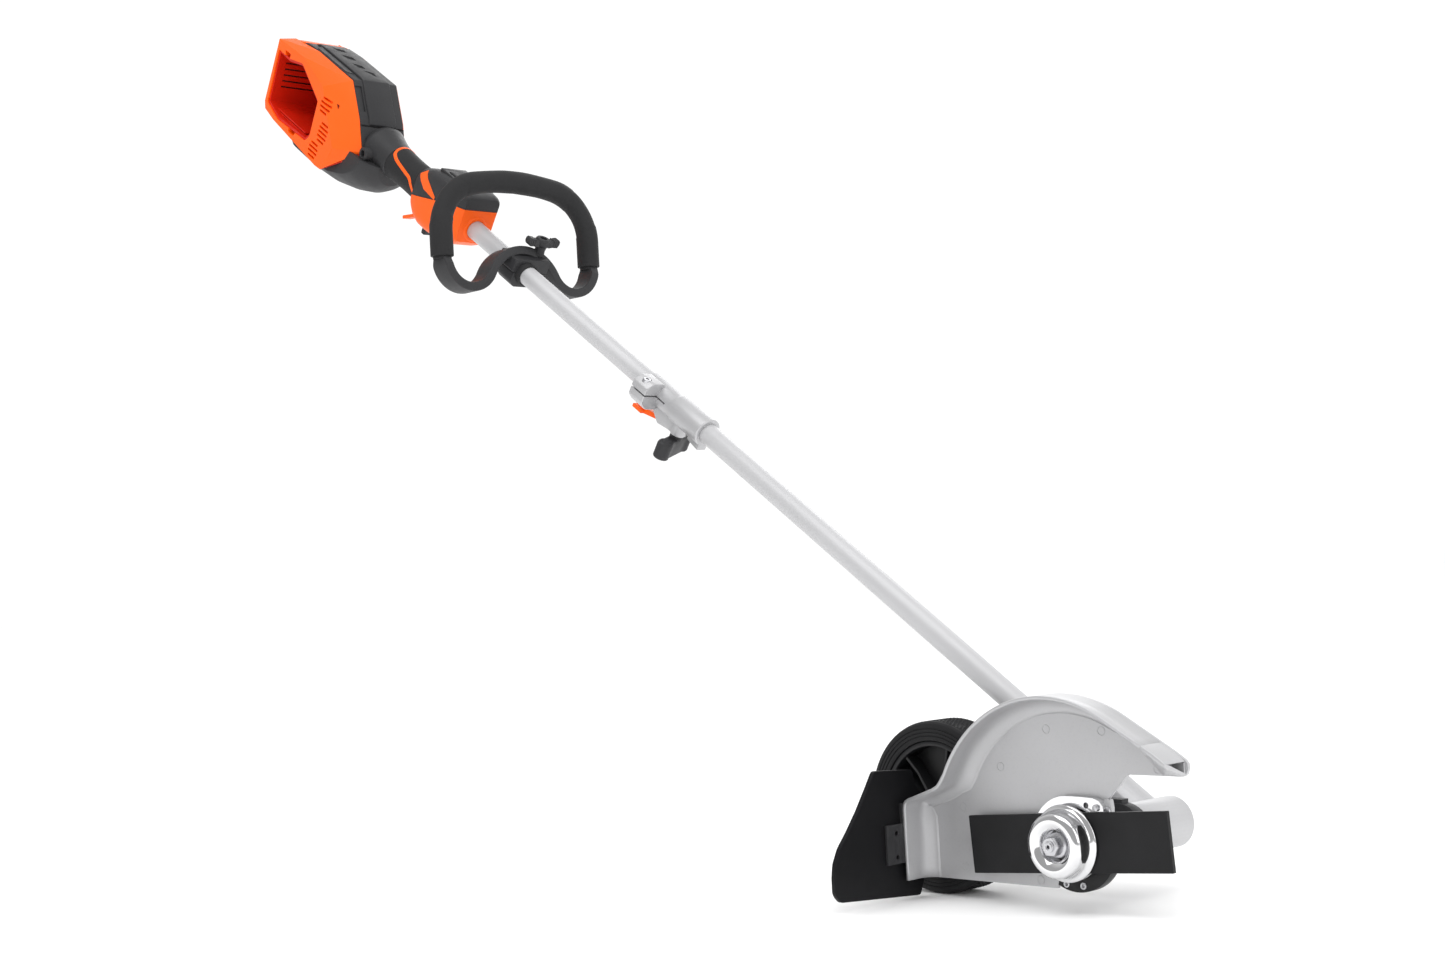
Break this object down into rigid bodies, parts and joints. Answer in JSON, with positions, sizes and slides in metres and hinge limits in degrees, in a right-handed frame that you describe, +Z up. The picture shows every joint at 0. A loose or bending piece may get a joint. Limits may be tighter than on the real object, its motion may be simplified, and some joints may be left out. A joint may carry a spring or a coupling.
{
  "type": "lawn edger",
  "caption": "Battery lawn edger: side-loading powerhead and rear grip on a split aluminium shaft with loop handle, cast guard, flat steel blade, depth wheel and mud flap.",
  "frame": {"origin": "on the ground under the middle of the object's plan box, with the wheel standing on the ground and the shaft in its working stance", "axes": "+X is the walking direction from powerhead to blade, +Y is to the operator's left, away from the blade, +Z is up"},
  "size_m": [1.5028, 0.363, 1.0744],
  "materials": {
    "orange_shell": "satin moulded ABS",
    "liner_red": "smooth moulded plastic",
    "black_shell": "fine-grained moulded nylon",
    "soft_rubber": "soft matt rubber",
    "tyre_rubber": "ribbed rubber tread",
    "wheel_plastic": "moulded plastic",
    "tube_aluminium": "bead-blasted, clear anodised",
    "cast_aluminium": "die cast, tumbled",
    "chrome": "polished plating",
    "steel": "machined steel",
    "blade_steel": "black painted spring steel",
    "copper_coil": "enamelled windings on laminations",
    "bush_plastic": "self-lubricating plastic",
    "board_green": "potted circuit board"
  },
  "bodies": {
    "powerhead": {"shell_left": "orange_shell", "shell_right": "orange_shell", "bay_liner": "liner_red", "battery_contacts": "black_shell", "top_cover": "black_shell", "badge_plate": "black_shell", "motor_housing": "black_shell", "motor_stator": "copper_coil", "motor_flange": "cast_aluminium", "controller": "board_green", "rear_grip": "soft_rubber", "grip_inlay": "orange_shell", "control_upper": "black_shell", "control_lower": "orange_shell", "keypad": "black_shell", "lever_pins": "steel", "upper_tube": "tube_aluminium", "upper_bushes": "bush_plastic", "coupling_body": "cast_aluminium", "coupling_screw": "steel"},
    "rotor": {"motor_rotor": "steel", "upper_shaft": "steel"},
    "power_key": {"power_button": "black_shell"},
    "mode_key": {"mode_button": "black_shell"},
    "throttle": {"trigger": "black_shell"},
    "lockout": {"lockout_lever": "orange_shell"},
    "latch": {"coupling_latch": "orange_shell"},
    "coupling_knob": {"coupling_knob": "black_shell"},
    "sleeve": {"handle_sleeve": "soft_rubber"},
    "loop": {"loop_frame": "black_shell", "loop_grip": "soft_rubber", "handle_clamp": "black_shell"},
    "handle_knob": {"handle_knob": "black_shell"},
    "attachment": {"lower_tube": "tube_aluminium", "lower_bushes": "bush_plastic", "gear_housing": "cast_aluminium", "housing_screws": "steel", "pinion_bearings": "steel", "arbor_bearings": "steel", "guard": "cast_aluminium", "guard_screws": "steel", "skid_shoe": "wheel_plastic", "skid_rivets": "steel", "mud_flap": "soft_rubber", "flap_bracket": "black_shell", "flap_screws": "steel"},
    "drive_line": {"lower_shaft": "steel", "bevel_pinion": "steel"},
    "blade_set": {"arbor": "steel", "bevel_gear": "steel", "drive_disc": "chrome", "disc_screw": "steel", "blade": "blade_steel", "clamp_cup": "chrome", "blade_nut": "steel"},
    "wheel_arm": {"wheel_arm": "black_shell", "wheel_axle": "steel"},
    "wheel": {"wheel_hub": "wheel_plastic", "tyre": "tyre_rubber"}
  },
  "joints": [
    {"name": "blade_spin", "type": "hinge", "parent": "attachment", "child": "blade_set", "pos_m": [0.626, -0.077, 0.061], "axis": [0, 1, 0], "continuous": true},
    {"name": "drive_line_spin", "type": "hinge", "parent": "attachment", "child": "drive_line", "pos_m": [0.38146, 0.053, 0.23478], "axis": [-0.8151, 0, 0.5793], "continuous": true},
    {"name": "rotor_spin", "type": "hinge", "parent": "powerhead", "child": "rotor", "pos_m": [-0.51518, 0.053, 0.87199], "axis": [-0.8151, 0, 0.5793], "continuous": true},
    {"name": "attachment_pull", "type": "slide", "parent": "powerhead", "child": "attachment", "axis": [0.8151, 0, -0.5793], "range_m": [0, 0.06]},
    {"name": "wheel_spin", "type": "hinge", "parent": "wheel_arm", "child": "wheel", "pos_m": [0.451, -0.047, 0.0805], "axis": [0, 1, 0], "continuous": true},
    {"name": "depth_adjust", "type": "hinge", "parent": "attachment", "child": "wheel_arm", "pos_m": [0.626, 0.003, 0.061], "axis": [0, 1, 0], "range_deg": [-14, 10]},
    {"name": "handle_slide", "type": "slide", "parent": "powerhead", "child": "sleeve", "axis": [-0.8151, 0, 0.5793], "range_m": [-0.15, 0.04]},
    {"name": "handle_turn", "type": "hinge", "parent": "sleeve", "child": "loop", "pos_m": [-0.27064, 0.053, 0.69821], "axis": [-0.8151, 0, 0.5793], "range_deg": [-25, 25]},
    {"name": "handle_knob_turn", "type": "hinge", "parent": "loop", "child": "handle_knob", "pos_m": [-0.25905, 0.077, 0.71451], "axis": [0.5793, 0, 0.8151], "range_deg": [-360, 720]},
    {"name": "coupling_knob_turn", "type": "hinge", "parent": "powerhead", "child": "coupling_knob", "pos_m": [0.00461, 0.053, 0.46579], "axis": [0.5793, 0, 0.8151], "range_deg": [-360, 720]},
    {"name": "latch_press", "type": "hinge", "parent": "powerhead", "child": "latch", "pos_m": [-0.02044, 0.053, 0.49096], "axis": [0, 1, 0], "range_deg": [0, 4], "stiffness_Nm_per_rad": 0.6},
    {"name": "power_press", "type": "slide", "parent": "powerhead", "child": "power_key", "axis": [-0.5793, 0, -0.8151], "range_m": [0, 0.0009], "stiffness_N_per_m": 900},
    {"name": "mode_press", "type": "slide", "parent": "powerhead", "child": "mode_key", "axis": [-0.5793, 0, -0.8151], "range_m": [0, 0.0009], "stiffness_N_per_m": 900},
    {"name": "trigger_pull", "type": "hinge", "parent": "powerhead", "child": "throttle", "pos_m": [-0.44199, 0.053, 0.79545], "axis": [0, 1, 0], "range_deg": [0, 14], "stiffness_Nm_per_rad": 0.5},
    {"name": "lockout_squeeze", "type": "hinge", "parent": "powerhead", "child": "lockout", "pos_m": [-0.45257, 0.053, 0.79437], "axis": [0, 1, 0], "range_deg": [0, 10], "stiffness_Nm_per_rad": 0.5}
  ],
  "couplings": [
    {"joint": "drive_line_spin", "follows": "blade_spin", "ratio": 1.5385},
    {"joint": "rotor_spin", "follows": "blade_spin", "ratio": 1.5385}
  ]
}
